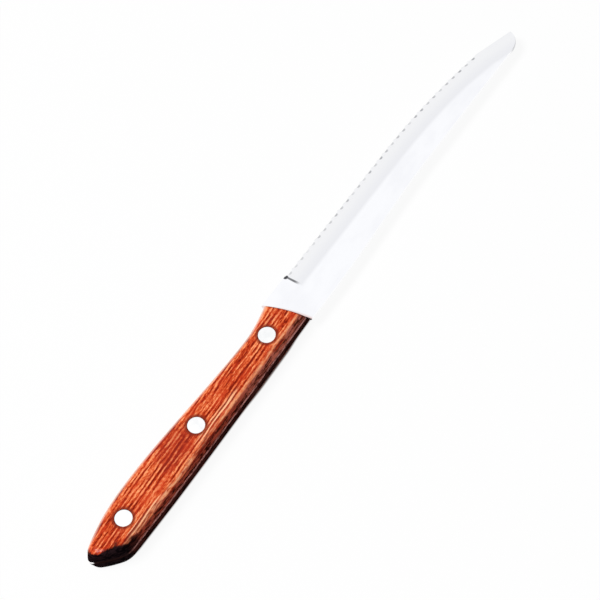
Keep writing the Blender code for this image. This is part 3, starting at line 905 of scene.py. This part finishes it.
veneer = dyed_veneer()
upper_wood = finished("upper_wood", scale_shape(1), veneer)
lower_wood = finished("lower_wood", scale_shape(-1), veneer)
bores = [stepped_bore("bore_" + place, x) for place, x in RIVET_PLACES.items()]
for piece in (blade, upper_wood, lower_wood):
    bored(piece, bores)
for bore in bores:
    bpy.data.objects.remove(bore)
for piece, node in ((upper_wood, "upper_scale"), (lower_wood, "lower_scale")):
    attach(piece, "root")
    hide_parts(node)


# Rivets
# Three cutler's rivets of pale metal. A sleeve with a flat head comes from above and a
# pin with a like head from below, pressed into it. The heads sit in stepped bores and
# are ground flush with the wood, with a fine dark line of stain round them.

PIN_RADIUS = 0.0011
HEAD_RECESS = 0.00004
HEAD_CHAMFER = 0.00010
HEAD_CROWN = 0.00002
HEAD_STEPS = 6


def head_profile(face, outwards):
    """A rivet head's profile from the middle of its face to its underside."""
    points = []
    for step in range(HEAD_STEPS + 1):
        radius = (HEAD_RADIUS - HEAD_CHAMFER) * step / HEAD_STEPS
        crown = HEAD_CROWN * (1 - (step / HEAD_STEPS) ** 2)
        points.append((radius, face + outwards * crown))
    points.append((HEAD_RADIUS, face - outwards * HEAD_CHAMFER))
    points.append((HEAD_RADIUS, face - outwards * HEAD_HEIGHT))
    return points


def ground_rivet_metal():
    """Pale rivet metal, ground flush along the handle."""
    made, sockets, start, place = finish("ground_rivet_metal")
    lines = place.stretched(120, 9000, 120).noise(3.0, 0.6)
    cloud = place.stretched(500, 500, 500).noise(2.0, 0.5)
    bright, dull = (0.96, 0.965, 0.97), (0.89, 0.90, 0.91)
    feed(sockets, "Base Color", cloud.step(0.3, 0.7).tint(bright, dull))
    feed(sockets, "Metallic", 1.0)
    feed(sockets, "Roughness", lines.between(0.14, 0.24))
    feed(sockets, "Normal", roughened(start, lines, 0.000004))
    return made


rivet_metal = ground_rivet_metal()
sleeve_face = HANDLE_THICKNESS - HEAD_RECESS
sleeve_shoulder = sleeve_face - HEAD_HEIGHT
sleeve_mouth = HEAD_HEIGHT + CLEARANCE * 1.2
hole_radius, hole_end = PIN_RADIUS + CLEARANCE, sleeve_shoulder - CLEARANCE
pin_end = sleeve_shoulder - CLEARANCE * 2
sleeve_profile = head_profile(sleeve_face, 1) + [
    (SHANK_RADIUS, sleeve_shoulder), (SHANK_RADIUS, sleeve_mouth),
    (hole_radius, sleeve_mouth), (hole_radius, hole_end), (0, hole_end),
]
pin_profile = head_profile(HEAD_RECESS, -1) + [
    (PIN_RADIUS, HEAD_RECESS + HEAD_HEIGHT), (PIN_RADIUS, pin_end), (0, pin_end),
]
for place, x in RIVET_PLACES.items():
    for kind, profile in (("sleeve", sleeve_profile), ("pin", pin_profile)):
        rivet = finished(f"{place}_{kind}", turned(profile), rivet_metal)
        rivet.data.transform(Matrix.Translation((x, 0, 0)))
        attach(rivet, "root")
        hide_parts(f"{place}_rivet_{kind}")


# Table and light
# A pale table in a pale room, under one soft lamp above the side of the cutting edge,
# which leaves the spine side in shade. The table and the room look plain white.

WHITE = (1, 1, 1, 1)
TABLE_COLOUR = (0.84, 0.84, 0.84, 1)
TABLE_SIZE = 4.0
WHITENING = 0.93
ROOM_LIGHT = 0.16
LAMP_PLACE = Vector((-0.66, 0.55, 2.00))
LAMP_AIM = Vector((0.03, 0, 0))
LAMP_SIZE = 0.8
LAMP_WATTS = 50.0


def whitened(start, lit, white, share):
    """Mix a lit surface with plain white for the eye and for mirror and glass rays."""
    path = start.node("ShaderNodeLightPath").socket.node.outputs
    seen = Link(start.tree, path["Is Camera Ray"]) + Link(start.tree, path["Is Glossy Ray"])
    seen = seen + Link(start.tree, path["Is Transmission Ray"])
    seen = seen.at_most(1.0) * share
    return start.node("ShaderNodeMixShader", {}, {0: seen, 1: lit, 2: white})


def pale_table_paint():
    """Pale paint that looks white, apart from the shadow close beside the handle."""
    made = bpy.data.materials.new("table_paint")
    made.use_nodes = True
    made.node_tree.nodes.clear()
    start = Link(made.node_tree)
    lit = start.node("ShaderNodeBsdfDiffuse", {}, {"Color": TABLE_COLOUR})
    white = start.node("ShaderNodeEmission", {}, {"Color": WHITE, "Strength": 1.0})
    place = start.node("ShaderNodeTexCoord", output=3)
    x, y = place.part("X"), place.part("Y")
    reach = x.window(-0.0060, 0.0080, 0.0210, 0.0290) * 0.0004
    beside = (y - spine_line(x) + reach).step(0.0001, 0.0009) * y.step(0.0045, 0.0005)
    beside = beside * x.step(-0.0640, -0.0600) * x.step(0.0425, 0.0340)
    surface = whitened(start, lit, white, (1 - beside) * WHITENING)
    start.node("ShaderNodeOutputMaterial", {}, {"Surface": surface})
    return made


table = bpy.data.objects.new("table", bpy.data.meshes.new("table"))
table_top = bmesh.new()
bmesh.ops.create_grid(table_top, x_segments=1, y_segments=1, size=TABLE_SIZE)
table_top.to_mesh(table.data)
table_top.free()
table.data.materials.append(pale_table_paint())
bpy.context.collection.objects.link(table)

room = bpy.data.worlds.new("pale_room")
room.use_nodes = True
room.node_tree.nodes.clear()
air = Link(room.node_tree)
dim = air.node("ShaderNodeBackground", {}, {"Color": WHITE, "Strength": ROOM_LIGHT})
pale = air.node("ShaderNodeBackground", {}, {"Color": WHITE, "Strength": 1.0})
air.node("ShaderNodeOutputWorld", {}, {"Surface": whitened(air, dim, pale, 1.0)})
bpy.context.scene.world = room

lamp = bpy.data.lights.new("overhead_light", "AREA")
lamp.shape = "SQUARE"
lamp.size = LAMP_SIZE
lamp.energy = LAMP_WATTS
light = bpy.data.objects.new("overhead_light", lamp)
light.location = LAMP_PLACE
light.rotation_euler = (LAMP_AIM - LAMP_PLACE).to_track_quat("-Z", "Y").to_euler()
bpy.context.collection.objects.link(light)
